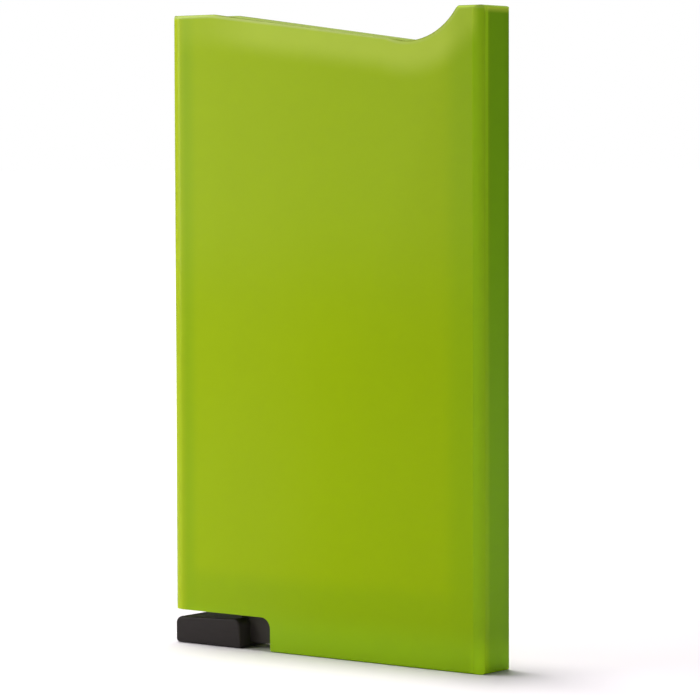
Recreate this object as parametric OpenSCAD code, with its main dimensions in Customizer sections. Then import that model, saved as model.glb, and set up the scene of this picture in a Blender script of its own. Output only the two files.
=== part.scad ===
// Slim upright card case with a swinging eject lever in its lower left corner.
// X runs across the width, Y from the front face to the back and Z up.
// The origin is the middle of the base. All lengths are millimetres.

/* [Cards] */
// Width of the cards
card_w = 54; // [48:0.5:60]
// Height of the cards
card_h = 85.6; // [78:0.2:92]
// Corner radius of the cards
card_corner_r = 3.2; // [2.6:0.1:4]
// Number of cards, each with its own step on the lever
card_count = 5; // [3:1:5]
// Gap between the cards and each side wall
card_side_gap = 0.95; // [0.7:0.05:1.2]
// How far a stored card stays below the top of the case
card_lip = 1.8; // [1:0.1:4]

/* [Walls] */
// Depth of the card pocket, from the front cover to the rear wall
pocket_d = 5.5; // [5:0.1:6.5]
// Thickness of the front cover
cover_t = 1; // [0.95:0.05:1.4]
// Thickness of the rear wall
rear_wall_t = 1; // [0.9:0.05:1.4]
// Thickness of the side walls
side_wall_t = 2.4; // [2.3:0.05:3]
// Thickness of the base wall
base_wall_t = 1.6; // [1.2:0.1:1.8]
// Height of the lever space under the cards
lever_space_h = 13; // [12.7:0.1:15]
// Thickness of the shelf that the cards stand on
shelf_t = 1.2; // [0.8:0.1:1.4]

/* [Edges] */
// Width of the rounded long edges of the front
edge_run = 2.3; // [1.8:0.1:3]
// Depth of the rounded long edges of the front
edge_drop = 0.85; // [0.5:0.05:0.9]
// Radius of the long edges of the back
back_edge_r = 0.7; // [0.5:0.1:1.5]
// Set-back of the side walls at the seam under the front cover
seam_step = 0.12; // [0.06:0.02:0.2]
// Length of the soft shoulder behind the seam
shoulder_run = 1.3; // [0.8:0.1:2]
// Radius of the case corners, seen from the front
corner_r = 0.6; // [0.4:0.1:1.2]
// Radius of the edges round the base and the top
end_edge_r = 0.5; // [0.2:0.05:0.6]

/* [Top cut] */
// Length of the level stretch at the left corner
level_w = 8.5; // [5:0.5:14]
// Radius of the thumb curve
thumb_r = 11; // [8:0.5:14]
// Depth of the thumb curve below the top
thumb_d = 5.05; // [3.5:0.05:6]
// Width of the tall corner at the right
horn_w = 4.5; // [3.5:0.25:8]

/* [Notch] */
// Width of the lever notch, from the left side of the case
notch_w = 19.8; // [19.4:0.1:22]
// Height of the lever notch
notch_h = 5.4; // [5.2:0.1:5.8]
// Radius of the inner corner of the notch
notch_r = 1.8; // [1:0.1:2.4]
// Thickness of the lining round the notch
lining_t = 1; // [0.7:0.1:1.2]

/* [Lever] */
// Width of the finger tab
tab_w = 13.15; // [11:0.05:13.2]
// Height of the finger tab at its free end
tab_tip_h = 4.2; // [3:0.1:4.6]
// Height of the finger tab where the neck leaves it
tab_root_h = 4.65; // [3.6:0.05:4.8]
// Radius of the upper tab corners
tab_r = 1.2; // [0.6:0.1:1.4]
// Radius of the lower outer tab corner
tab_foot_r = 0.7; // [0.4:0.1:1.4]
// Thickness of the neck between the tab and the hub
neck_t = 1.8; // [1:0.1:2]
// Distance of the pivot past the inner side of the notch
pivot_in = 2; // [1.6:0.1:3]
// Height of the pivot above the base
pivot_h = 8.9; // [8.7:0.1:9.4]
// Radius of the hub
hub_r = 3; // [2.6:0.1:3.2]
// Height from one card step to the next
step_rise = 2; // [1.2:0.1:2.1]
// Angle that the lever swings through
swing = 30; // [15:1:30]

/* [Pivot pin] */
// Radius of the pivot pin
pin_r = 1; // [0.75:0.05:1.2]
// Depth of the pin's seat in each wall
pin_seat_d = 0.6; // [0.3:0.05:0.7]
// Radius of the boss round each pin seat
boss_r = 1.9; // [1.6:0.1:2.2]
// Height of each boss
boss_h = 0.5; // [0.3:0.05:0.7]

/* [Shields] */
// Thickness of the shield sheets
shield_t = 0.2; // [0.1:0.05:0.3]
// Distance of the sheets from the sides of the case
shield_side = 5.05; // [4:0.05:8]
// Distance of the sheets below the top cut
shield_top = 2; // [1:0.1:5]

/* [Grip strips] */
// Length of the grip strips
grip_l = 50; // [30:1:60]
// Width of the grip strips
grip_w = 2.5; // [1.5:0.1:2.6]
// Depth to which the strips are let into the side walls
grip_inset = 0.8; // [0.4:0.05:0.9]
// Height of the strips above the card shelf
grip_rise = 18; // [10:1:24]
// Length of the lead-in at each end of a strip
grip_lead = 3; // [1:0.5:6]

/* [Cover pegs] */
// Radius of the pegs that locate the front cover
peg_r = 0.55; // [0.4:0.05:0.6]
// Length of the pegs
peg_l = 0.9; // [0.6:0.05:0.95]

/* [Hidden] */
$fn = 64;

// Clearances
tab_side_gap = 0.3;
tab_base_gap = 0.05;
tab_face_gap = 0.05;
neck_gap = 0.4;
hub_side_gap = 0.1;
hub_round_gap = 0.35;
bore_gap = 0.04;
pin_seat_gap = 0.02;
lever_face_gap = 0.25;
sweep_gap = 0.5;
seat_gap = 0.4;
arm_base_gap = 0.4;
stop_gap = 0.1;
shield_gap = 0.15;
grip_groove_gap = 0.05;
grip_card_gap = 0.05;
peg_gap = 0.05;
peg_end_gap = 0.1;

// Small sizes of single features
over = 1;
bite = 0.3;
post_bite = 0.8;
blend_dip = 0.02;
nose_r = 0.9;
neck_root = 1.9;
neck_foot = 0.75;
neck_toe = 1.4;
neck_low_angle = -45;
neck_high_angle = 125;
stop_l = 3;
stop_w = 3;
rib_t = 0.9;
pin_chamfer = 0.2;
// Heights of the cover pegs, as shares of the case height
peg_height_shares = [0.17, 0.42, 0.68, 0.92];

// Overall sizes
pocket_w = card_w + 2 * card_side_gap;
case_w = pocket_w + 2 * side_wall_t;
case_h = lever_space_h + card_h + card_lip;
case_t = cover_t + pocket_d + rear_wall_t;
side_x = case_w / 2;
wall_x = pocket_w / 2;
front_y = -case_t / 2;
back_y = case_t / 2;
seam_y = front_y + cover_t;
floor_y = back_y - rear_wall_t;
pocket_y = (seam_y + floor_y) / 2;

// Round edges, each an arc that leaves its face smoothly
edge_r = (edge_run * edge_run + edge_drop * edge_drop) / (2 * edge_drop);
shoulder_r = (shoulder_run * shoulder_run + seam_step * seam_step) / (2 * seam_step);
shoulder_y = seam_y + shoulder_run;

// Top cut: a straight slant that runs all but tangent into the thumb curve
level_x = level_w - side_x;
thumb_z = case_h - thumb_d + thumb_r;
thumb_x = side_x - horn_w - sqrt(thumb_r * thumb_r - pow(thumb_z - case_h, 2));
slant_span = [thumb_x - level_x, thumb_z - case_h];
slant_r = thumb_r - blend_dip;
slant_l = sqrt(slant_span * slant_span - slant_r * slant_r);
slant_angle = atan2(slant_span[1], slant_span[0]) - asin(slant_r / norm(slant_span));

// Lever places
notch_x = notch_w - side_x;
pivot_x = notch_x + pivot_in;
pivot = [pivot_x, pivot_h];
tab_x0 = tab_side_gap - side_x;
tab_x1 = tab_x0 + tab_w;
neck_x0 = tab_x1 - neck_root;
toe = [notch_x - neck_toe, tab_base_gap + neck_foot];
heel = pivot + (hub_r - bite) * [cos(neck_low_angle), sin(neck_low_angle)];
crest = pivot + (hub_r - bite) * [cos(neck_high_angle), sin(neck_high_angle)];
hub_t = pocket_d - 2 * boss_h - 2 * hub_side_gap;
arm_low = base_wall_t + arm_base_gap;
arm_high = lever_space_h - seat_gap;
arm_x0 = pivot_x + boss_r + hub_side_gap + bite;
post_x = card_w / 2 - post_bite;
sweep_r = post_x - sweep_gap - pivot_x;
arm_x1 = pivot_x + sqrt(sweep_r * sweep_r - pow(pivot_h - arm_low, 2));
arm_y0 = seam_y + lever_face_gap;
arm_y1 = floor_y - lever_face_gap;
step_pitch = (arm_y1 - arm_y0) / card_count;

// Slot for the neck: it ends where the open neck crosses the base wall
toe_open = pivot + turned(toe - pivot, swing);
heel_open = pivot + turned(heel - pivot, swing);
toe_slope = (heel_open[0] - toe_open[0]) / (heel_open[1] - toe_open[1]);
slot_x1 = toe_open[0] + (base_wall_t - toe_open[1]) * toe_slope + neck_gap;

// Card shelf and grip strips
shelf_x1 = pivot_x - hub_r - hub_round_gap;
rib_x = (neck_x0 - wall_x) / 2;
grip_z0 = lever_space_h + grip_rise;
grip_z1 = grip_z0 + grip_l;
grip_out_x = wall_x + grip_inset;
grip_in_x = card_w / 2 + grip_card_gap;

shell_green = [0.52, 0.68, 0.1];
lever_black = [0.13, 0.12, 0.12];
sheet_silver = [0.78, 0.79, 0.8];
grip_grey = [0.3, 0.31, 0.3];

// Turns a point of the front view anticlockwise about zero
function turned(p, a) = [p[0] * cos(a) - p[1] * sin(a), p[0] * sin(a) + p[1] * cos(a)];

// Outward normal of the side from a to b of an anticlockwise outline
function side_normal(a, b) = [b[1] - a[1], a[0] - b[0]] / norm(b - a);

// Height of card step i, counted from the front
function step_z(i) = arm_high - (card_count - 1 - i) * step_rise;

// Rectangle between two corners
module rect(a, b) {
    translate(a) square(b - a);
}

// Box between two corners
module box(a, b) {
    translate(a) cube(b - a);
}

// Outline with equal round corners about the given centres, anticlockwise
module rounded_shape(centres, r) {
    n = len(centres);
    polygon([for (i = [0 : n - 1])
        let (a = centres[i], b = centres[(i + 1) % n], out = r * side_normal(a, b))
        each [a + out, b + out]]);
    for (c = centres) translate(c) circle(r);
}

// Rectangle with round corners
module rounded_rect(a, b, r) {
    rounded_shape([a + [r, r], [b[0] - r, a[1] + r], b - [r, r], [a[0] + r, b[1] - r]], r);
}

// Front-view shape, as deep as from y0 to y1
module slab(y0, y1) {
    translate([0, y1, 0]) rotate([90, 0, 0]) linear_extrude(y1 - y0) children();
}

// Plan-view section, over the full height
module upright() {
    linear_extrude(case_h) children();
}

// Side-view section, over the full width
module across() {
    translate([-side_x, 0, 0]) rotate([90, 0, 90]) linear_extrude(case_w) children();
}

// Round bar along Y at the pivot
module pivot_rod(r, y0, y1) {
    translate([pivot_x, y1, pivot_h]) rotate([90, 0, 0]) cylinder(y1 - y0, r, r);
}

// Lever notch, with its inner corner round; grow widens it for the lining
module notch_shape(grow = 0) {
    r = notch_r + grow;
    low = [-side_x - over, -over];
    rect(low, [notch_x + grow, notch_h + grow - r]);
    rect(low, [notch_x + grow - r, notch_h + grow]);
    translate([notch_x + grow - r, notch_h + grow - r]) circle(r);
}

// Top cut: slant and thumb curve, lowered by drop
module top_cut(drop = 0) {
    translate([0, -drop]) {
        polygon([[level_x, case_h],
            [level_x, case_h] + slant_l * [cos(slant_angle), sin(slant_angle)],
            [thumb_x, thumb_z],
            [thumb_x, thumb_z + over + drop],
            [level_x, thumb_z + over + drop]]);
        translate([thumb_x, thumb_z]) circle(thumb_r);
    }
}

// The case as seen from the front
module case_outline() {
    difference() {
        rounded_rect([-side_x, 0], [side_x, case_h], corner_r);
        notch_shape();
        top_cut();
    }
}

// Side-view section of the case, with round edges at the base and the top
module end_section() {
    rounded_rect([front_y, 0], [back_y, case_h], end_edge_r);
}

// Plan-view section of the front cover
module cover_section() {
    rect([edge_run - side_x, front_y], [side_x - edge_run, seam_y]);
    intersection() {
        rect([-side_x, front_y], [side_x, seam_y]);
        for (s = [-1, 1])
            translate([s * (side_x - edge_run), front_y + edge_r - blend_dip]) circle(edge_r);
    }
}

// Plan-view section of the rear shell, still solid
module shell_section() {
    inner_x = side_x - shoulder_r;
    intersection() {
        rect([-side_x, seam_y], [side_x, shoulder_y]);
        union() {
            rect([-inner_x, seam_y], [inner_x, shoulder_y]);
            for (s = [-1, 1]) translate([s * inner_x, shoulder_y]) circle(shoulder_r);
        }
    }
    rect([-side_x, shoulder_y], [side_x, back_y - back_edge_r]);
    rect([back_edge_r - side_x, shoulder_y], [side_x - back_edge_r, back_y]);
    for (s = [-1, 1])
        translate([s * (side_x - back_edge_r), back_y - back_edge_r]) circle(back_edge_r);
}

// One shield sheet; grow makes the recess that it lies in
module shield_shape(grow = 0) {
    x = side_x - shield_side + grow;
    difference() {
        rect([-x, lever_space_h - grow], [x, case_h - shield_top + grow]);
        top_cut(shield_top - grow);
    }
}

// Outline of the stored cards
module card_shape() {
    rounded_rect([-card_w / 2, lever_space_h], [card_w / 2, lever_space_h + card_h],
        card_corner_r);
}

// Shelf, post, rib and notch lining inside the lever space, seen from the front
module inner_walls() {
    left_x = -wall_x - bite;
    top_z = lever_space_h + card_corner_r;
    difference() {
        union() {
            intersection() {
                notch_shape(lining_t);
                rect([left_x, base_wall_t - bite], [notch_x + lining_t, notch_h + lining_t]);
            }
            rect([left_x, lever_space_h - shelf_t], [shelf_x1, top_z]);
            rect([rib_x - rib_t / 2, notch_h], [rib_x + rib_t / 2, lever_space_h]);
            rect([post_x, base_wall_t - bite], [wall_x + bite, top_z]);
        }
        notch_shape();
        card_shape();
        translate(pivot) circle(hub_r + hub_round_gap);
    }
}

// Places in front view where the cover pegs sit
module at_pegs() {
    for (s = [-1, 1], share = peg_height_shares)
        translate([s * (side_x - side_wall_t / 2), seam_y, share * case_h])
            rotate([-90, 0, 0]) children();
}

// Front cover: flat plate with round long edges, pin boss, pegs and shield recess
module front_cover() {
    color(shell_green) difference() {
        union() {
            intersection() {
                slab(front_y, seam_y) case_outline();
                upright() cover_section();
                across() end_section();
            }
            pivot_rod(boss_r, seam_y - bite, seam_y + boss_h);
            at_pegs() translate([0, 0, -bite]) cylinder(peg_l + bite, peg_r, peg_r);
        }
        slab(seam_y - shield_t, seam_y + over) shield_shape(shield_gap);
        pivot_rod(pin_r + pin_seat_gap, seam_y - pin_seat_d, seam_y + over);
    }
}

// Rear shell: back, side and base walls in one moulding, with the card shelf inside
module rear_shell() {
    slot_y = neck_t / 2 + neck_gap;
    groove_w = grip_w / 2 + grip_groove_gap;
    stop_x1 = arm_x1 - nose_r;
    color(shell_green) difference() {
        union() {
            difference() {
                intersection() {
                    slab(seam_y, back_y) case_outline();
                    upright() shell_section();
                    across() end_section();
                }
                box([-wall_x, seam_y - over, base_wall_t], [wall_x, floor_y, case_h + over]);
            }
            slab(seam_y, floor_y + bite) inner_walls();
            pivot_rod(boss_r, floor_y - boss_h, floor_y + bite);
            box([stop_x1 - stop_l, pocket_y - stop_w / 2, base_wall_t - bite],
                [stop_x1, pocket_y + stop_w / 2, arm_low - stop_gap]);
        }
        box([neck_x0, pocket_y - slot_y, -over],
            [slot_x1, pocket_y + slot_y, notch_h + lining_t + over]);
        slab(floor_y - over, floor_y + shield_t) shield_shape(shield_gap);
        pivot_rod(pin_r + pin_seat_gap, floor_y - boss_h - over, floor_y + pin_seat_d);
        for (s = [0, 1]) mirror([s, 0, 0])
            box([wall_x - over, pocket_y - groove_w, grip_z0 - grip_groove_gap],
                [grip_out_x, pocket_y + groove_w, grip_z1 + grip_groove_gap]);
        at_pegs() translate([0, 0, -over])
            cylinder(peg_l + peg_end_gap + over, peg_r + peg_gap, peg_r + peg_gap);
    }
}

// Shield sheet glued into the recess of the front cover
module front_shield() {
    color(sheet_silver) slab(seam_y - shield_t, seam_y) shield_shape();
}

// Shield sheet glued into the recess of the rear wall
module rear_shield() {
    color(sheet_silver) slab(floor_y, floor_y + shield_t) shield_shape();
}

// Soft strip let into a side wall, which holds the card edges
module grip_strip() {
    color(grip_grey) slab(pocket_y - grip_w / 2, pocket_y + grip_w / 2)
        polygon([[grip_out_x, grip_z0], [grip_out_x, grip_z1], [wall_x, grip_z1],
            [grip_in_x, grip_z1 - grip_lead], [grip_in_x, grip_z0 + grip_lead],
            [wall_x, grip_z0]]);
}

module left_grip_strip() {
    mirror([1, 0, 0]) grip_strip();
}

module right_grip_strip() {
    grip_strip();
}

// Finger tab, taller where the neck leaves it, with a square lower inner corner. Each
// corner circle crosses the sides at a shallow angle, and the sides trim it.
module tab_shape() {
    z0 = tab_base_gap;
    foot_d = tab_foot_r - blend_dip;
    head_d = tab_r - blend_dip;
    low_tip = [tab_x0 + foot_d, z0 + foot_d];
    high_root = [tab_x1 - head_d, z0 + tab_root_h - head_d];
    high_tip = [tab_x0 + head_d, z0 + tab_tip_h - head_d];
    up = head_d * side_normal(high_root, high_tip);
    slope = (high_root[1] - high_tip[1]) / (high_root[0] - high_tip[0]);
    top_z = high_root[1] + up[1] - slope * (high_root[0] + up[0]);
    intersection() {
        polygon([[tab_x0, z0], [tab_x1, z0], [tab_x1, top_z + slope * tab_x1],
            [tab_x0, top_z + slope * tab_x0]]);
        union() {
            polygon([[low_tip[0], z0], [tab_x1, z0], [tab_x1, high_root[1]], high_root + up,
                high_tip + up, [tab_x0, high_tip[1]], [tab_x0, low_tip[1]]]);
            translate(low_tip) circle(tab_foot_r);
            for (c = [high_root, high_tip]) translate(c) circle(tab_r);
        }
    }
}

// Thin neck that carries the tab on the hub
module neck_shape() {
    polygon([[neck_x0, toe[1]], toe, heel, crest, [neck_x0, notch_h - seat_gap - neck_gap]]);
}

// Side of card step i, with a round nose under the card edge
module step_shape(i) {
    rect([arm_x0, arm_low], [arm_x1 - nose_r, step_z(i)]);
    rect([arm_x0, arm_low], [arm_x1, step_z(i) - nose_r]);
    translate([arm_x1 - nose_r, step_z(i) - nose_r]) circle(nose_r);
}

// One-piece lever: tab, neck, hub and a long arm with one step for each card
module eject_lever() {
    tab_t = case_t - 2 * tab_face_gap;
    color(lever_black) difference() {
        union() {
            slab(-tab_t / 2, tab_t / 2) tab_shape();
            slab(pocket_y - neck_t / 2, pocket_y + neck_t / 2) neck_shape();
            pivot_rod(hub_r, pocket_y - hub_t / 2, pocket_y + hub_t / 2);
            for (i = [0 : card_count - 1])
                slab(arm_y0 + i * step_pitch, arm_y1) step_shape(i);
        }
        pivot_rod(pin_r + bore_gap, front_y, back_y);
    }
}

// Steel pin through the hub, seated in both walls, with chamfered ends
module pivot_pin() {
    half_l = pocket_d / 2 + pin_seat_d;
    tip_r = pin_r - pin_chamfer;
    color(sheet_silver) translate([pivot_x, pocket_y, pivot_h]) rotate([90, 0, 0]) {
        cylinder(2 * (half_l - pin_chamfer), pin_r, pin_r, center = true);
        for (s = [0, 1]) mirror([0, 0, s])
            translate([0, 0, half_l - pin_chamfer]) cylinder(pin_chamfer, pin_r, tip_r);
    }
}

front_cover();
rear_shell();
front_shield();
rear_shield();
left_grip_strip();
right_grip_strip();
eject_lever();
pivot_pin();
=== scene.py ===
"""Looks of a slim upright card case: two green mouldings, a black eject lever, foil and grips."""

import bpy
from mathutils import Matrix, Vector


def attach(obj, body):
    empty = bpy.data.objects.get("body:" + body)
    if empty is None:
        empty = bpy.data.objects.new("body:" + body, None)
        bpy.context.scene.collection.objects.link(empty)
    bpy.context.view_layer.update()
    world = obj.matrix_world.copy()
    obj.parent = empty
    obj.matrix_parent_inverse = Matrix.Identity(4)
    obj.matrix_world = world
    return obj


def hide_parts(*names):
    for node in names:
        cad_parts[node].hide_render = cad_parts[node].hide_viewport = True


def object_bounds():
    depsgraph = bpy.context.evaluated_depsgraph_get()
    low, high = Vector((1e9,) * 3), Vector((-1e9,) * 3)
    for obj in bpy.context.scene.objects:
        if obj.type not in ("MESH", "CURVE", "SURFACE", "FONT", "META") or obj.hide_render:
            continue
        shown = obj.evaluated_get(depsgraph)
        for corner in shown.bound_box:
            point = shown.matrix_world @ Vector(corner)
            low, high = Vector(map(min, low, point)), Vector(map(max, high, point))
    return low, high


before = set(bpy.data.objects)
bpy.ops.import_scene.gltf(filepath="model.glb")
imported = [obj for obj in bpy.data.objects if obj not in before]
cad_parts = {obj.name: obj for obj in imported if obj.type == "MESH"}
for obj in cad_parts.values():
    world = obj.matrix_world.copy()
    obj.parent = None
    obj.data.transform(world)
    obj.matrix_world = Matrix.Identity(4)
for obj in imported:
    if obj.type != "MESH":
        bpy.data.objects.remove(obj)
START_BOX = [list(corner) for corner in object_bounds()]

import math

import bmesh
import bpy
import numpy as np
from mathutils import Matrix, Vector

bl_info = {
    "name": "Card Case",
    "version": (1, 0, 0),
    "blender": (4, 5, 0),
    "location": "View3D > Sidebar > Card Case",
    "description": "Dresses a card case with its plastic, foil, rubber and steel",
    "category": "Object",
}

MM = 0.001


def node_box(name):
    """Lowest and highest corner of a CAD node."""
    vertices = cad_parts[name].data.vertices
    points = np.empty(3 * len(vertices), dtype=np.float32)
    vertices.foreach_get("co", points)
    points = points.reshape(-1, 3).astype(float)
    return points.min(axis=0), points.max(axis=0)


def span(base, start, full):
    """Where a colour step starts and where it is full, both in millimetres from base."""
    return base + start * MM, base + full * MM


# Faces of the case, the foil and the lever
CASE_LOW, CASE_HIGH = (np.array(corner) for corner in START_BOX)
FOIL_LOW, FOIL_HIGH = node_box("front_shield")
LEVER_LOW, LEVER_HIGH = node_box("eject_lever")
FRONT_Y = CASE_LOW[1]
BACK_Y = CASE_HIGH[1]
SIDE_X = float(CASE_HIGH[0])
TOP_Z = float(CASE_HIGH[2])
COVER_T = 1 * MM
REAR_WALL_T = 1 * MM
SEAM_Y = FRONT_Y + COVER_T
INNER_Y = BACK_Y - REAR_WALL_T
TAB_W = 13.15 * MM
TAB_END_X = LEVER_LOW[0] + TAB_W

# Top outline in front view: a level stretch, a slant, and the thumb curve beside the tall corner
LEVEL_W = 8.5 * MM
THUMB_R = 11 * MM
THUMB_D = 5.05 * MM
HORN_W = 4.5 * MM
SLANT_X = LEVEL_W - SIDE_X
THUMB_Z = TOP_Z - THUMB_D + THUMB_R
THUMB_X = SIDE_X - HORN_W - math.sqrt(THUMB_R ** 2 - (THUMB_Z - TOP_Z) ** 2)
# Fall per length across of the line that the colours follow. The slant itself falls by 0.133,
# so the line lies up to 0.35 mm above it.
SLANT_FALL = 0.124

# Colour steps across the case
FOIL_LEFT = span(FOIL_LOW[0], -2.1, 0.5)
FOIL_RIGHT = span(FOIL_HIGH[0], 1.1, -2.9)
# Painted shade: the front deepens towards the right, away from the light
PAINTED_SHADE_ACROSS = span(0, 24, -16)
LONG_EDGE = span(SIDE_X, -2.05, -1.45)
# Painted sheen on the left of the front
PAINTED_SHEEN_ACROSS = span(0, 4, -16)
# Painted light under the top edge, across the case and up to its right end
PAINTED_TOP_LIGHT_ACROSS = span(0, -27, -11)
PAINTED_TOP_LIGHT_END = span(SIDE_X, -0.55, -1.75)
# Painted highlight on the left rim
PAINTED_LEFT_HIGHLIGHT = span(-SIDE_X, 3.15, 0.95)
# Painted highlight on the lip, fainter towards the right
LIP_HIGHLIGHT_ACROSS = span(0, 18, 10)
SIDE_FACE = span(SIDE_X, -0.15, -0.02)
# Painted light at the lower corners
CORNER_LIGHT_ACROSS = span(SIDE_X, -2.85, -0.05)
# Painted glow inside the pocket's mouth, away from the sides
MOUTH_ACROSS = span(SIDE_X, -2, -2.3)
# Painted light on the lever's neck, beside the tab
NECK_LIGHT_ACROSS = span(TAB_END_X, -0.4, 0.3)

# Colour steps up the case
FOIL_FOOT = span(FOIL_LOW[2], -3.2, 0.4)
# Painted light on the foot, standing in for light bounced from the floor
PAINTED_FOOT_LIGHT_UP = span(0, 8, 2)
# The painted sheen is stronger low down
PAINTED_SHEEN_UP = span(0, 70, 20)
# Painted light: the side's deep colour thins towards its foot, for light bounced from the floor
SIDE_BOUNCE_LIGHT_UP = span(0, 0, 70)
# Painted highlight line on the side, in its upper part
HIGHLIGHT_LINE_UP = span(0, 40, 80)
# Painted light at the lower corners, only near the foot
CORNER_LIGHT_UP = span(0, 7, 0.3)

# Colour steps by the depth below the top outline
# Painted light in a band under the top edge
PAINTED_TOP_LIGHT_DEPTH = span(0, 6.4, 2.2)
# Painted highlight on the very edge of the top
LIP_HIGHLIGHT_DEPTH = span(0, 0.7, 0.3)
# Painted shade on the top face
TOP_FACE_SHADE_DEPTH = span(0, 0.22, 0.02)
# Painted highlight at the upper end of the side
SIDE_END_HIGHLIGHT_DEPTH = span(0, 1.3, 0.3)
# Painted glow near the top of the pocket's walls
MOUTH_DEPTH = span(0, 14, 0.3)

# Colour steps from front to back
SIDE_REAR = span(FRONT_Y, 1.2, 2.3)
# Painted highlight line on the side, just behind the seam
HIGHLIGHT_LINE_FRONT = span(FRONT_Y, 0.75, 1.05)
HIGHLIGHT_LINE_BACK = span(FRONT_Y, 1.75, 1.4)
# Painted shade along the back edge of the side
SIDE_BACK_SHADE = span(BACK_Y, -2.2, -0.6)
# Painted glow on the pocket's inner walls
MOUTH_WALL = span(INNER_Y, 0.2, 0.05)

# Shares and colours that go with the steps
# Strength of the painted light on the foot
PAINTED_FOOT_LIGHT_SHARE = 0.7
# Strength of the painted sheen
PAINTED_SHEEN_SHARE = 0.022
# Strength of the painted highlight on the left rim
PAINTED_LEFT_HIGHLIGHT_SHARE = 0.85
# Strength of the painted shade at the back edge
SIDE_BACK_SHADE_SHARE = 0.2
# Colour of the painted sheen
PAINTED_SHEEN_COLOUR = (0.42, 0.5, 0.3)
# Gain of the painted light at the lower corners
CORNER_LIGHT_GAIN = (1.65, 1.6, 1.2)

# Rounded edges: how the CAD copies are cleaned, and which of their edges are rounded
WELD_REACH = 0.0005 * MM
FLAT_TURN = math.radians(0.4)
SHARP_TURN = math.radians(30)
EDGE_SEGMENTS = 3
EDGE_REACH = 0.3 * MM
SEAM_SLACK = 0.01 * MM
SEAM_SHARE = 0.25
TAB_EDGE_X = TAB_END_X + 1.9 * MM
TAB_EDGE_Y = LEVER_HIGH[1] - 0.7 * MM

# Stage, in metres, and the view in degrees
VIEW_TURN = 37.5
VIEW_TILT = 3.15
VIEW_ROLL = -0.156
CAMERA_PLACE = (0.32085, -0.41475, 0.0767)
SENSOR_W = 36
FLOOR_REACH = 30
FLOOR_POINTS = 13
WHITE_START = 0.07
WHITE_FULL = 0.8
TOP_BOX_XY = (-0.147, 0.051)
TOP_BOX_Z = 1.3
TOP_BOX_SIZE = (0.3, 0.3)
KEY_BOX_XY = (-0.322, -0.27)
KEY_BOX_Z = 0.15
KEY_BOX_SIZE = (0.42, 0.2)
SIDE_BOX_PLACE = (1.3, -0.1, 0.6)
SIDE_BOX_SIZE = (0.7, 0.7)


# Sizes and colours that a user would change


class CardCaseShell(bpy.types.PropertyGroup):
    """The two green mouldings."""

    colour: bpy.props.FloatVectorProperty(
        name="Plastic colour", description="Colour of the plastic where foil lies behind it",
        subtype="COLOR", size=3, min=0, max=1, default=(0.343, 0.490, 0.002))
    frame_colour: bpy.props.FloatVectorProperty(
        name="Frame colour", description="Deeper colour where solid plastic lies behind the face",
        subtype="COLOR", size=3, min=0, max=1, default=(0.280, 0.445, 0.004))
    side_colour: bpy.props.FloatVectorProperty(
        name="Side colour", description="Deepest colour, on the thick side walls",
        subtype="COLOR", size=3, min=0, max=1, default=(0.192, 0.420, 0.010))
    band_colour: bpy.props.FloatVectorProperty(
        name="Band colour", description="Colour of the side walls beside the front cover",
        subtype="COLOR", size=3, min=0, max=1, default=(0.285, 0.500, 0.012))
    # Painted highlight on the left rim, which catches the light from the left
    left_highlight_colour: bpy.props.FloatVectorProperty(
        name="Edge colour", description="Paler colour of the left rim",
        subtype="COLOR", size=3, min=0, max=1, default=(0.44, 0.535, 0.018))
    # Painted light under the top edge; also the base of the top face's painted shade and the
    # side's painted highlight
    painted_light_colour: bpy.props.FloatVectorProperty(
        name="Rim colour", description="Paler colour where light enters by the top edge",
        subtype="COLOR", size=3, min=0, max=1, default=(0.45, 0.595, 0.050))
    # Painted highlight on the very edge of the top; also the colour of the painted glow in the
    # pocket's mouth
    lip_highlight_colour: bpy.props.FloatVectorProperty(
        name="Lip colour", description="Palest colour, on the very edge of the top",
        subtype="COLOR", size=3, min=0, max=1, default=(0.5, 0.61, 0.16))
    # Painted glow: emission that brightens the shaded walls inside the pocket's mouth
    mouth_painted_glow: bpy.props.FloatProperty(
        name="Mouth glow", description="Light that the walls carry to the pocket's mouth",
        min=0, max=2, default=0.5)
    roughness: bpy.props.FloatProperty(
        name="Roughness", description="Roughness of the moulded surface",
        min=0, max=1, default=0.18, subtype="FACTOR")
    edge: bpy.props.FloatProperty(
        name="Edge rounding", description="Width of the rounded outer edges",
        min=0, max=0.0006, default=0.00032, unit="LENGTH", precision=5)
    texture: bpy.props.FloatProperty(
        name="Mould texture", description="Size of the grain left by the mould",
        min=0.0001, max=0.002, default=0.0005, unit="LENGTH", precision=5)


class CardCaseLever(bpy.types.PropertyGroup):
    """The black eject lever."""

    colour: bpy.props.FloatVectorProperty(
        name="Lever colour", description="Colour of the lever's plastic",
        subtype="COLOR", size=3, min=0, max=1, default=(0.031, 0.027, 0.026))
    roughness: bpy.props.FloatProperty(
        name="Roughness", description="Roughness of the lever's plastic",
        min=0, max=1, default=0.34, subtype="FACTOR")
    edge: bpy.props.FloatProperty(
        name="Edge rounding", description="Width of the lever's rounded edges",
        min=0, max=0.0006, default=0.00035, unit="LENGTH", precision=5)


class CardCaseTrim(bpy.types.PropertyGroup):
    """Foil, grip strips and pin."""

    foil: bpy.props.FloatVectorProperty(
        name="Foil colour", description="Colour of the shield foil",
        subtype="COLOR", size=3, min=0, max=1, default=(0.62, 0.63, 0.64))
    grip: bpy.props.FloatVectorProperty(
        name="Grip colour", description="Colour of the soft strips",
        subtype="COLOR", size=3, min=0, max=1, default=(0.07, 0.075, 0.07))
    steel: bpy.props.FloatVectorProperty(
        name="Pin colour", description="Colour of the steel pin",
        subtype="COLOR", size=3, min=0, max=1, default=(0.56, 0.56, 0.55))


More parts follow.
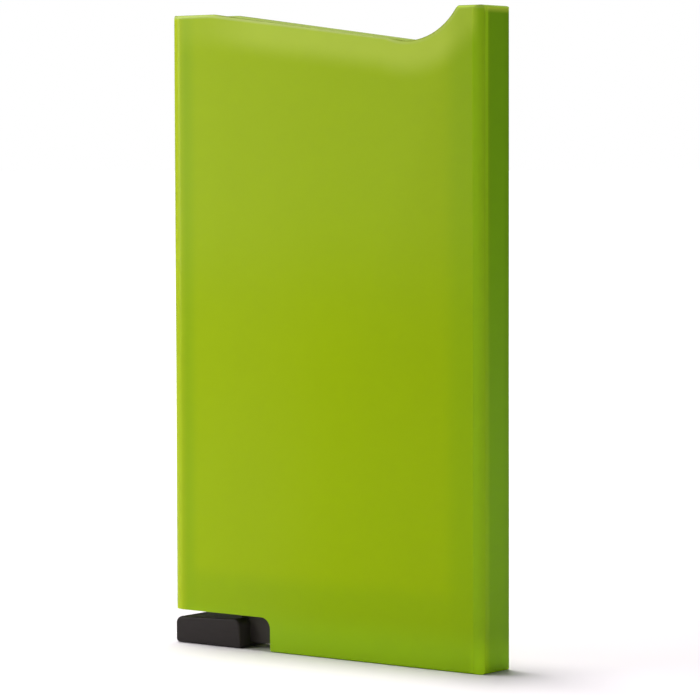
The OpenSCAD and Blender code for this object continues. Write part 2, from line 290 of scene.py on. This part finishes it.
class CardCaseStage(bpy.types.PropertyGroup):
    """Floor, lights and camera."""

    floor: bpy.props.FloatVectorProperty(
        name="Floor colour", description="Colour of the floor",
        subtype="COLOR", size=3, min=0, max=1, default=(0.875, 0.83, 0.865))
    lens: bpy.props.FloatProperty(
        name="Lens", description="Focal length of the camera in millimetres",
        min=20, max=400, default=173.45)
    top_light: bpy.props.FloatProperty(
        name="Top light", description="Power of the soft box above", min=0, default=18.8,
        unit="POWER")
    key_light: bpy.props.FloatProperty(
        name="Key light", description="Power of the upright soft box at the front left", min=0,
        default=1.18, unit="POWER")
    side_light: bpy.props.FloatProperty(
        name="Side light", description="Power of the soft box at the right", min=0,
        default=1.5, unit="POWER")
    ambient: bpy.props.FloatProperty(
        name="Ambient", description="Strength of the light from all round", min=0, default=0.06)


GROUPS = {
    "card_case_shell": CardCaseShell,
    "card_case_lever": CardCaseLever,
    "card_case_trim": CardCaseTrim,
    "card_case_stage": CardCaseStage,
}


# Material building


class Shade:
    """A material's node tree, with short calls for the nodes that the finishes use."""

    def __init__(self, name):
        self.material = bpy.data.materials.new(name)
        self.material.use_nodes = True
        self.tree = self.material.node_tree
        self.tree.nodes.clear()
        self.shader = self.node("ShaderNodeBsdfPrincipled")
        out = self.node("ShaderNodeOutputMaterial")
        self.link(self.shader.outputs["BSDF"], out.inputs["Surface"])
        self.place = self.node("ShaderNodeTexCoord").outputs["Object"]

    def node(self, kind, **values):
        """A new node of a kind, with its settings."""
        made = self.tree.nodes.new(kind)
        for key, value in values.items():
            setattr(made, key, value)
        return made

    def link(self, source, target):
        self.tree.links.new(source, target)

    def feed(self, socket, value):
        """Links value to socket if it is another socket, or else sets it."""
        if isinstance(value, bpy.types.NodeSocket):
            self.link(value, socket)
        else:
            socket.default_value = value

    def math(self, operation, *values):
        made = self.node("ShaderNodeMath", operation=operation)
        for socket, value in zip(made.inputs, values):
            self.feed(socket, value)
        return made.outputs[0]

    def product(self, *values):
        result = values[0]
        for value in values[1:]:
            result = self.math("MULTIPLY", result, value)
        return result

    def axes(self):
        """The three coordinates of the point that is shaded."""
        split = self.node("ShaderNodeSeparateXYZ")
        self.link(self.place, split.inputs[0])
        return split.outputs

    def step(self, value, start, full):
        """0 before start, 1 after full and a smooth change between them."""
        made = self.node("ShaderNodeMapRange", interpolation_type="SMOOTHSTEP")
        self.feed(made.inputs["Value"], value)
        made.inputs["From Min"].default_value = start
        made.inputs["From Max"].default_value = full
        return made.outputs["Result"]

    def noise(self, size, stretch=(1, 1, 1), detail=3, roughness=0.5):
        """Noise whose grain is size metres across, stretched along the axes."""
        mapping = self.node("ShaderNodeMapping")
        mapping.inputs["Scale"].default_value = [1 / (size * pull) for pull in stretch]
        self.link(self.place, mapping.inputs["Vector"])
        made = self.node("ShaderNodeTexNoise")
        made.inputs["Scale"].default_value = 1
        made.inputs["Detail"].default_value = detail
        made.inputs["Roughness"].default_value = roughness
        self.link(mapping.outputs[0], made.inputs["Vector"])
        return made.outputs["Fac"]

    def spread(self, value, low, high=1):
        """Carries a 0 to 1 value on to the span from low to high."""
        made = self.node("ShaderNodeMapRange")
        self.feed(made.inputs["Value"], value)
        made.inputs["To Min"].default_value = low
        made.inputs["To Max"].default_value = high
        return made.outputs["Result"]

    def mix(self, share, first, second, blend="MIX"):
        """The first colour where share is 0, and the second where it is 1."""
        made = self.node("ShaderNodeMix", data_type="RGBA", blend_type=blend)
        self.feed(made.inputs[0], share)
        for socket, value in ((made.inputs[6], first), (made.inputs[7], second)):
            self.feed(socket, value if isinstance(value, bpy.types.NodeSocket) else (*value, 1))
        return made.outputs[2]

    def bump(self, height, depth, strength):
        """Lets height raise the surface by up to depth metres."""
        made = self.node("ShaderNodeBump")
        made.inputs["Strength"].default_value = strength
        made.inputs["Distance"].default_value = depth
        self.link(height, made.inputs["Height"])
        self.link(made.outputs[0], self.shader.inputs["Normal"])

    def set(self, **values):
        """Feeds the shader's sockets, whose names have _ for a space."""
        for key, value in values.items():
            self.feed(self.shader.inputs[key.replace("_", " ")], value)


def tinted(colour, factor):
    """The colour times the factor, no brighter than 1."""
    return tuple(min(1.0, part * factor) for part in colour)


def top_depth(paint, x, z):
    """Depth below the top outline: level top, slant and thumb curve, whichever is nearest.

    Right of the thumb curve's middle the slant is put a metre away, so it doesn't count there.
    """
    below_level = paint.math("SUBTRACT", TOP_Z, z)
    fall = paint.product(paint.math("SUBTRACT", x, SLANT_X), SLANT_FALL)
    right_of = paint.math("GREATER_THAN", x, THUMB_X)
    below_slant = paint.math("ADD", paint.math("SUBTRACT", below_level, fall), right_of)
    across = paint.math("SUBTRACT", x, THUMB_X)
    up = paint.math("SUBTRACT", z, THUMB_Z)
    square = paint.math("ADD", paint.product(across, across), paint.product(up, up))
    round_thumb = paint.math("SUBTRACT", paint.math("SQRT", square), THUMB_R)
    return paint.math("MINIMUM", below_level, paint.math("MINIMUM", below_slant, round_thumb))


def front_colour(paint, look, x, z, out_x):
    """Colour of the front: pale over the foil, deeper round it, with painted light and shade.

    Here and below, out_x and out_y are the distances from the middle of the case.
    """
    # The slope across is painted shade: the front deepens towards the right
    foil = paint.product(paint.step(x, *FOIL_LEFT), paint.step(x, *FOIL_RIGHT),
                         paint.spread(paint.step(x, *PAINTED_SHADE_ACROSS), low=0.7),
                         paint.spread(paint.step(z, *FOIL_FOOT), low=0.3))
    colour = paint.mix(foil, tuple(look.frame_colour), tuple(look.colour))
    colour = paint.mix(paint.step(out_x, *LONG_EDGE), colour, tuple(look.band_colour))
    # Painted light: the foot is brightened, standing in for light bounced from the floor
    foot = paint.product(paint.step(z, *PAINTED_FOOT_LIGHT_UP), PAINTED_FOOT_LIGHT_SHARE)
    colour = paint.mix(foot, colour, tinted(look.band_colour, 1.1))
    # Painted sheen: a whitish tint on the left, standing in for the key light's reflection
    painted_sheen = paint.product(paint.step(x, *PAINTED_SHEEN_ACROSS),
                         paint.spread(paint.step(z, *PAINTED_SHEEN_UP), low=0.5), PAINTED_SHEEN_SHARE)
    return paint.mix(painted_sheen, colour, PAINTED_SHEEN_COLOUR)


def top_colour(paint, look, colour, x, depth):
    """Adds painted light under the top and on the left rim and lip, and painted shade on the top.
    """
    # Painted light: a pale band under the top edge, standing in for light from above
    rim = paint.product(paint.step(depth, *PAINTED_TOP_LIGHT_DEPTH), paint.step(x, *PAINTED_TOP_LIGHT_END),
                        paint.spread(paint.step(x, *PAINTED_TOP_LIGHT_ACROSS), low=0.3),
                        paint.spread(paint.step(x, *FOIL_RIGHT), low=0.6))
    colour = paint.mix(rim, colour, tuple(look.painted_light_colour))
    # Painted highlight on the left rim, which catches the light from the left
    painted_left_highlight = paint.product(paint.step(x, *PAINTED_LEFT_HIGHLIGHT), PAINTED_LEFT_HIGHLIGHT_SHARE)
    colour = paint.mix(painted_left_highlight, colour, tuple(look.left_highlight_colour))
    # Painted highlight on the lip: a pale line along the top edge
    lip = paint.product(paint.step(depth, *LIP_HIGHLIGHT_DEPTH),
                        paint.spread(paint.step(x, *LIP_HIGHLIGHT_ACROSS), low=0.35))
    colour = paint.mix(lip, colour, tuple(look.lip_highlight_colour))
    # Painted shade: the top face is darkened
    return paint.mix(paint.step(depth, *TOP_FACE_SHADE_DEPTH), colour, tinted(look.painted_light_colour, 0.62))


def side_colour(paint, look, colour, y, z, out_x, depth):
    """Adds the side walls: front band and deeper rear part, with painted light and shade."""
    on_side = paint.step(out_x, *SIDE_FACE)
    colour = paint.mix(on_side, colour, tuple(look.band_colour))
    # The deep colour thins to 0.8 at the foot: painted light bounced from the floor
    rear = paint.product(on_side, paint.step(y, *SIDE_REAR),
                         paint.spread(paint.step(z, *SIDE_BOUNCE_LIGHT_UP), low=0.8))
    colour = paint.mix(rear, colour, tuple(look.side_colour))
    # Painted highlight: a pale line along the side near the seam, in the upper part
    line = paint.product(on_side, paint.step(y, *HIGHLIGHT_LINE_FRONT), paint.step(y, *HIGHLIGHT_LINE_BACK),
                         paint.step(z, *HIGHLIGHT_LINE_UP))
    colour = paint.mix(line, colour, tinted(look.band_colour, 1.35))
    # Painted shade: the back edge of the side is darkened
    back = paint.product(on_side, paint.step(y, *SIDE_BACK_SHADE), SIDE_BACK_SHADE_SHARE)
    colour = paint.mix(back, colour, tinted(look.side_colour, 0.5))
    # Painted highlight: the upper end of the side catches light from above
    end = paint.product(on_side, paint.step(depth, *SIDE_END_HIGHLIGHT_DEPTH))
    return paint.mix(end, colour, tinted(look.painted_light_colour, 1.22))


def shell_finish(look):
    """Lime plastic, a little see-through.

    It is paler over the foil and deepest on the side walls. Painted light makes it paler at the
    top and on the left rim and brighter at the lower corners. Faint clouds run through it, and a
    painted glow brightens the shaded walls inside the pocket's mouth.
    """
    paint = Shade("lime_plastic")
    x, y, z = paint.axes()
    out_x = paint.math("ABSOLUTE", x)
    depth = top_depth(paint, x, z)
    colour = front_colour(paint, look, x, z, out_x)
    colour = top_colour(paint, look, colour, x, depth)
    colour = side_colour(paint, look, colour, y, z, out_x, depth)
    # Painted light: the lower corners are brightened where they would lie in shade
    corner = paint.product(paint.step(out_x, *CORNER_LIGHT_ACROSS), paint.step(z, *CORNER_LIGHT_UP))
    colour = paint.mix(corner, colour, CORNER_LIGHT_GAIN, blend="MULTIPLY")
    cloud = paint.noise(18 * MM, detail=2)
    cloud = paint.spread(cloud, low=0, high=0.12)
    colour = paint.mix(cloud, colour, tinted(look.frame_colour, 0.8))
    grain = paint.noise(look.texture, detail=4, roughness=0.6)
    roughness = paint.spread(grain, low=look.roughness - 0.04, high=look.roughness + 0.04)
    out_y = paint.math("ABSOLUTE", y)
    # Painted glow: emission brightens the shaded inside of the pocket's mouth
    inside = paint.product(paint.step(out_y, *MOUTH_WALL), paint.step(out_x, *MOUTH_ACROSS),
                           paint.step(depth, *MOUTH_DEPTH))
    glow = paint.product(inside, look.mouth_painted_glow)
    paint.set(Base_Color=colour, Roughness=roughness, IOR=1.49, Specular_IOR_Level=0.04,
              Emission_Color=(*look.lip_highlight_colour, 1), Emission_Strength=glow)
    paint.bump(grain, depth=0.002 * MM, strength=0.6)
    return paint.material


def lever_finish(look):
    """Black plastic with a fine grain and faint rub marks, and painted light on the shaded neck.
    """
    paint = Shade("black_plastic")
    x = paint.axes()[0]
    grain = paint.noise(0.35 * MM, detail=4)
    rub = paint.noise(2.2 * MM, stretch=(1, 1, 0.25))
    rubbed = paint.spread(rub, low=0, high=0.5)
    colour = paint.mix(rubbed, tuple(look.colour), tinted(look.colour, 1.5))
    # Painted light: the neck, in the tab's shade, is made paler
    colour = paint.mix(paint.step(x, *NECK_LIGHT_ACROSS), colour, tinted(look.colour, 1.9))
    roughness = paint.spread(rub, low=look.roughness - 0.05, high=look.roughness + 0.08)
    paint.set(Base_Color=colour, Roughness=roughness, IOR=1.5, Specular_IOR_Level=0.08)
    paint.bump(grain, depth=0.006 * MM, strength=0.6)
    return paint.material


def foil_finish(look):
    """Rolled aluminium foil, with fine lines along its height."""
    paint = Shade("rolled_foil")
    lines = paint.noise(0.25 * MM, stretch=(1, 1, 60), detail=4)
    dull = paint.noise(6 * MM)
    colour = paint.mix(lines, tinted(look.foil, 0.85), tuple(look.foil))
    paint.set(Base_Color=colour, Metallic=1.0, Roughness=paint.spread(dull, low=0.28, high=0.45))
    paint.bump(lines, depth=0.002 * MM, strength=0.5)
    return paint.material


def grip_finish(look):
    """Soft matt rubber."""
    paint = Shade("soft_rubber")
    grain = paint.noise(0.2 * MM, detail=5, roughness=0.7)
    colour = paint.mix(grain, tinted(look.grip, 0.8), tinted(look.grip, 1.2))
    paint.set(Base_Color=colour, Roughness=paint.spread(grain, low=0.72, high=0.9))
    paint.bump(grain, depth=0.01 * MM, strength=0.7)
    return paint.material


def steel_finish(look):
    """Drawn steel with fine lines round the pin."""
    paint = Shade("drawn_steel")
    lines = paint.noise(0.08 * MM, stretch=(20, 1, 20))
    colour = paint.mix(lines, tinted(look.steel, 0.85), tuple(look.steel))
    paint.set(Base_Color=colour, Metallic=1.0, Roughness=paint.spread(lines, low=0.22, high=0.36))
    paint.bump(lines, depth=0.001 * MM, strength=0.5)
    return paint.material


def floor_finish(colour):
    """Matt pale paper that turns white far from the case.

    Rays that a glossy surface sends back see a darker floor, so that it doesn't whiten the
    sheen of the plastic.
    """
    paint = Shade("pale_paper")
    fibre = paint.noise(3 * MM)
    far = paint.node("ShaderNodeVectorMath", operation="LENGTH")
    paint.link(paint.place, far.inputs[0])
    path = paint.node("ShaderNodeLightPath").outputs
    white = paint.step(far.outputs["Value"], WHITE_START, WHITE_FULL)
    white = paint.product(paint.spread(white, low=0, high=1.1), path["Is Camera Ray"])
    paper = paint.mix(fibre, tinted(colour, 0.995), tuple(colour))
    mirrored = paint.product(path["Is Glossy Ray"], 0.4)
    paper = paint.mix(mirrored, paper, tinted(colour, 0.1))
    paint.set(Base_Color=paper, Roughness=0.9, Specular_IOR_Level=0.1,
              Emission_Color=(1, 1, 1, 1), Emission_Strength=white)
    return paint.material


def dress(obj, material):
    """Gives every slot of the object the material."""
    if not obj.data.materials:
        obj.data.materials.append(material)
    for slot in obj.material_slots:
        slot.material = material


# Shapes


def add_object(name, mesh):
    obj = bpy.data.objects.new(name, mesh)
    bpy.context.scene.collection.objects.link(obj)
    return obj


def rounded_copy(node, name, width, chosen):
    """A copy of a CAD node with its chosen sharp edges rounded.

    The copy's loose triangles are joined and its flat faces merged. Each outward edge that
    turns by more than SHARP_TURN gets a round of the width times the share, from 0 to 1, that
    chosen gives for its middle.
    """
    shape = bmesh.new()
    shape.from_mesh(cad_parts[node].data)
    bmesh.ops.remove_doubles(shape, verts=shape.verts, dist=WELD_REACH)
    bmesh.ops.dissolve_limit(shape, angle_limit=FLAT_TURN, verts=shape.verts,
                             edges=shape.edges, delimit={"NORMAL"})
    weight = shape.edges.layers.float.new("bevel_weight_edge")
    for edge in shape.edges:
        if edge.is_convex and edge.calc_face_angle(0) > SHARP_TURN:
            edge[weight] = chosen((edge.verts[0].co + edge.verts[1].co) / 2)
    mesh = bpy.data.meshes.new(name)
    shape.to_mesh(mesh)
    shape.free()
    mesh.shade_smooth()
    mesh.set_sharp_from_angle(angle=SHARP_TURN)
    obj = add_object(name, mesh)
    bevel = obj.modifiers.new("rounded_edges", "BEVEL")
    bevel.limit_method = "WEIGHT"
    bevel.width = width
    bevel.segments = EDGE_SEGMENTS
    bevel.harden_normals = True
    bevel.use_clamp_overlap = True
    return obj


def seam_share(mid):
    """Share of the rounding at the seam on the outside of the case, or else 0."""
    on_seam = abs(mid.y - SEAM_Y) < SEAM_SLACK and abs(mid.x) > SIDE_X - EDGE_REACH
    return SEAM_SHARE if on_seam else 0.0


def cover_share(mid):
    """The whole rounding along the outline of the front, and some at the seam."""
    return 1.0 if mid.y < FRONT_Y + EDGE_REACH else seam_share(mid)


def rear_share(mid):
    """The whole rounding along the outline of the back, and some at the seam."""
    return 1.0 if mid.y > BACK_Y - EDGE_REACH else seam_share(mid)


def tab_share(mid):
    """The whole rounding along the two faces of the finger tab."""
    return 1.0 if mid.x < TAB_EDGE_X and abs(mid.y) > TAB_EDGE_Y else 0.0


def sheet_grid(name, across, along):
    """A flat floor mesh: the grid of every x of across with every y of along, at z = 0."""
    x, y = np.meshgrid(across, along)
    points = np.stack([x, y, np.zeros_like(x)], axis=-1).reshape(-1, 3)
    index = np.arange(len(points)).reshape(len(along), len(across))
    faces = np.stack([index[:-1, :-1], index[:-1, 1:], index[1:, 1:], index[1:, :-1]], axis=-1)
    mesh = bpy.data.meshes.new(name)
    mesh.from_pydata(points.tolist(), [], faces.reshape(-1, 4).tolist())
    return add_object(name, mesh)


def soft_box(name, place, target, size, power):
    """An area light of size width by length, which looks from place at target."""
    data = bpy.data.lights.new(name, "AREA")
    data.shape = "RECTANGLE"
    data.size, data.size_y = size
    data.energy = power
    obj = add_object(name, data)
    obj.location = place
    obj.rotation_euler = (Vector(target) - Vector(place)).to_track_quat("-Z", "Y").to_euler()
    return obj


# Operators


class CARDCASE_OT_front_cover(bpy.types.Operator):
    """Front cover with soft edges along the outline of its front"""

    bl_idname = "card_case.front_cover"
    bl_label = "Front Cover"

    def execute(self, context):
        look = context.scene.card_case_shell
        piece = rounded_copy("front_cover", "front_cover_moulding", look.edge, cover_share)
        dress(piece, bpy.data.materials.get("lime_plastic") or shell_finish(look))
        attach(piece, "case")
        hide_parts("front_cover")
        return {"FINISHED"}


class CARDCASE_OT_rear_shell(bpy.types.Operator):
    """Rear shell with soft edges along the outline of its back"""

    bl_idname = "card_case.rear_shell"
    bl_label = "Rear Shell"

    def execute(self, context):
        look = context.scene.card_case_shell
        piece = rounded_copy("rear_shell", "rear_shell_moulding", look.edge, rear_share)
        dress(piece, bpy.data.materials.get("lime_plastic") or shell_finish(look))
        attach(piece, "case")
        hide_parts("rear_shell")
        return {"FINISHED"}


class CARDCASE_OT_lever(bpy.types.Operator):
    """Eject lever with a soft-edged finger tab"""

    bl_idname = "card_case.lever"
    bl_label = "Eject Lever"

    def execute(self, context):
        look = context.scene.card_case_lever
        piece = rounded_copy("eject_lever", "lever_moulding", look.edge, tab_share)
        dress(piece, lever_finish(look))
        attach(piece, "lever")
        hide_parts("eject_lever")
        return {"FINISHED"}


class CARDCASE_OT_shields(bpy.types.Operator):
    """Foil finish on both shield sheets"""

    bl_idname = "card_case.shields"
    bl_label = "Shield Sheets"

    def execute(self, context):
        foil = foil_finish(context.scene.card_case_trim)
        for node in ("front_shield", "rear_shield"):
            dress(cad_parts[node], foil)
        return {"FINISHED"}


class CARDCASE_OT_grips(bpy.types.Operator):
    """Rubber finish on both grip strips"""

    bl_idname = "card_case.grips"
    bl_label = "Grip Strips"

    def execute(self, context):
        rubber = grip_finish(context.scene.card_case_trim)
        for node in ("left_grip_strip", "right_grip_strip"):
            dress(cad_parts[node], rubber)
        return {"FINISHED"}


class CARDCASE_OT_pin(bpy.types.Operator):
    """Steel finish on the pivot pin"""

    bl_idname = "card_case.pin"
    bl_label = "Pivot Pin"

    def execute(self, context):
        dress(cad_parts["pivot_pin"], steel_finish(context.scene.card_case_trim))
        return {"FINISHED"}


class CARDCASE_OT_stage(bpy.types.Operator):
    """Pale floor, soft lights and the camera"""

    bl_idname = "card_case.stage"
    bl_label = "Stage"

    def execute(self, context):
        look = context.scene.card_case_stage
        reach = np.linspace(-FLOOR_REACH, FLOOR_REACH, FLOOR_POINTS)
        floor = sheet_grid("floor", reach, reach)
        dress(floor, floor_finish(tuple(look.floor)))
        top = soft_box("top_box", (*TOP_BOX_XY, TOP_BOX_Z), (*TOP_BOX_XY, 0), TOP_BOX_SIZE,
                       look.top_light)
        # It faces straight down, and its sides are turned with the view
        top.rotation_euler = (0, 0, math.radians(VIEW_TURN))
        soft_box("key_box", (*KEY_BOX_XY, KEY_BOX_Z), (0, 0, KEY_BOX_Z), KEY_BOX_SIZE,
                 look.key_light)
        soft_box("side_box", SIDE_BOX_PLACE, (0, 0, 0.5 * TOP_Z), SIDE_BOX_SIZE,
                 look.side_light)
        self.make_world(look.ambient)
        self.make_camera(look.lens)
        context.scene.view_settings.view_transform = "Standard"
        return {"FINISHED"}

    def make_world(self, strength):
        """Even white light from all round, and a white background behind the floor."""
        world = bpy.data.worlds.new("studio")
        world.use_nodes = True
        tree = world.node_tree
        tree.nodes.clear()
        light = tree.nodes.new("ShaderNodeBackground")
        light.inputs["Color"].default_value = (1, 1, 1, 1)
        light.inputs["Strength"].default_value = strength
        backdrop = tree.nodes.new("ShaderNodeBackground")
        backdrop.inputs["Color"].default_value = (1, 1, 1, 1)
        seen = tree.nodes.new("ShaderNodeLightPath").outputs["Is Camera Ray"]
        mix = tree.nodes.new("ShaderNodeMixShader")
        out = tree.nodes.new("ShaderNodeOutputWorld")
        tree.links.new(seen, mix.inputs[0])
        tree.links.new(light.outputs[0], mix.inputs[1])
        tree.links.new(backdrop.outputs[0], mix.inputs[2])
        tree.links.new(mix.outputs[0], out.inputs["Surface"])
        bpy.context.scene.world = world

    def make_camera(self, lens):
        """A long lens at the right front that looks a little down, with a slight roll.

        Back points from the object to the camera, and above and right are the picture's own.
        """
        turn, tilt, roll = (math.radians(angle) for angle in (VIEW_TURN, VIEW_TILT, VIEW_ROLL))
        back = Vector((math.sin(turn) * math.cos(tilt), -math.cos(turn) * math.cos(tilt),
                       math.sin(tilt)))
        level = Vector((math.cos(turn), math.sin(turn), 0))
        up = back.cross(level)
        right = math.cos(roll) * level + math.sin(roll) * up
        above = -math.sin(roll) * level + math.cos(roll) * up
        data = bpy.data.cameras.new("camera")
        data.lens = lens
        data.sensor_width = SENSOR_W
        data.clip_start = 0.01
        data.clip_end = 100
        camera = add_object("camera", data)
        facing = Matrix((right, above, back)).transposed().to_4x4()
        camera.matrix_world = Matrix.Translation(CAMERA_PLACE) @ facing
        bpy.context.scene.camera = camera


class CARDCASE_PT_panel(bpy.types.Panel):
    """Steps and sizes of the card case"""

    bl_idname = "CARDCASE_PT_panel"
    bl_label = "Card Case"
    bl_space_type = "VIEW_3D"
    bl_region_type = "UI"
    bl_category = "Card Case"

    def draw(self, context):
        for step in STEPS:
            self.layout.operator(step.bl_idname)
        for group in GROUPS:
            look = getattr(context.scene, group)
            box = self.layout.box()
            for key in look.__annotations__:
                box.prop(look, key)


STEPS = (
    CARDCASE_OT_front_cover,
    CARDCASE_OT_rear_shell,
    CARDCASE_OT_lever,
    CARDCASE_OT_shields,
    CARDCASE_OT_grips,
    CARDCASE_OT_pin,
    CARDCASE_OT_stage,
)
CLASSES = (*GROUPS.values(), *STEPS, CARDCASE_PT_panel)


def register():
    for cls in CLASSES:
        bpy.utils.register_class(cls)
    for name, group in GROUPS.items():
        setattr(bpy.types.Scene, name, bpy.props.PointerProperty(type=group))


def unregister():
    for name in GROUPS:
        delattr(bpy.types.Scene, name)
    for cls in reversed(CLASSES):
        bpy.utils.unregister_class(cls)


def main():
    """Makes the stage and dresses every piece."""
    register()
    bpy.ops.card_case.stage()
    bpy.ops.card_case.front_cover()
    bpy.ops.card_case.rear_shell()
    bpy.ops.card_case.lever()
    bpy.ops.card_case.shields()
    bpy.ops.card_case.grips()
    bpy.ops.card_case.pin()
    bpy.context.view_layer.update()


if __name__ == "__main__":
    main()
